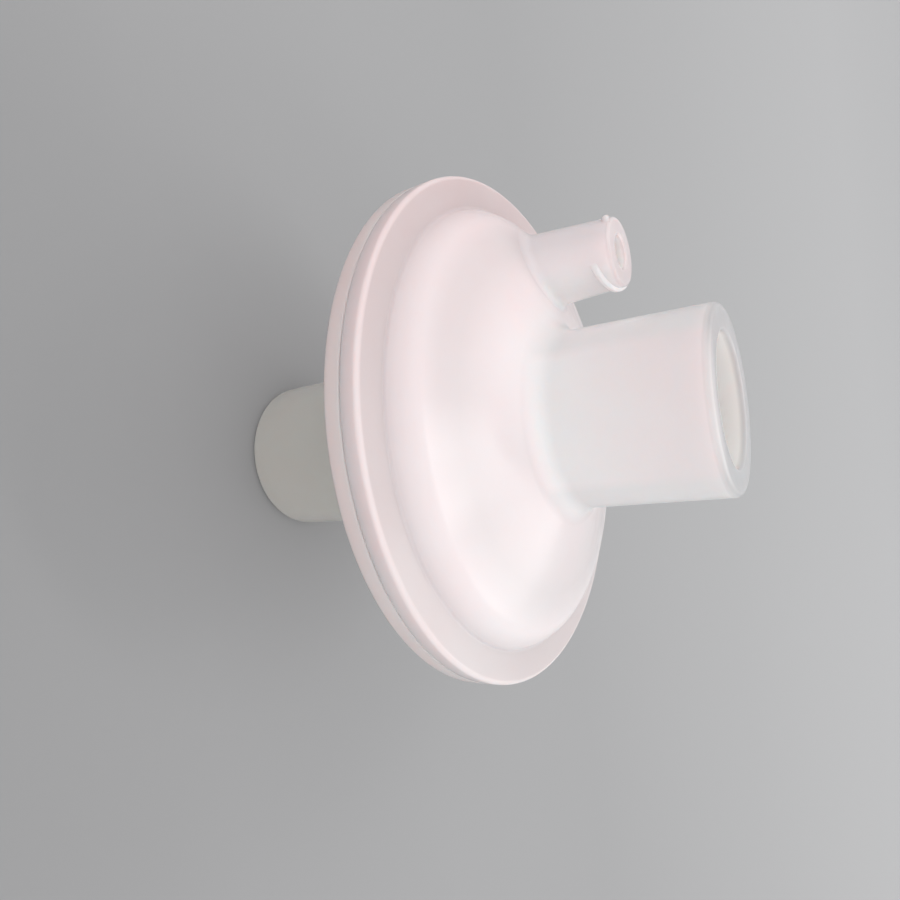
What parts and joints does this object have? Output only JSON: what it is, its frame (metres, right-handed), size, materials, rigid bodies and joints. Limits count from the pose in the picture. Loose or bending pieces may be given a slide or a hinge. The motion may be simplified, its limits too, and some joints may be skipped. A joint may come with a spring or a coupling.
{
  "type": "breathing circuit filter",
  "caption": "Disc-shaped breathing circuit filter in milky clear plastic, with coaxial tube ports and a small gas sampling port beside the front one.",
  "frame": {"origin": "centre of the rear port's end face, on which the filter stands", "axes": "+Z along the axis of both large ports, towards the front port; the sampling port is on the -X side"},
  "size_m": [0.065, 0.065, 0.0661],
  "materials": {
    "front_shell": "milky translucent polypropylene with a soft gloss",
    "rear_shell": "milky translucent polypropylene with a soft gloss",
    "filter_medium": "white electrostatic fibre felt"
  },
  "bodies": {
    "root": {"front_shell": "front_shell", "rear_shell": "rear_shell", "filter_medium": "filter_medium"}
  },
  "joints": []
}
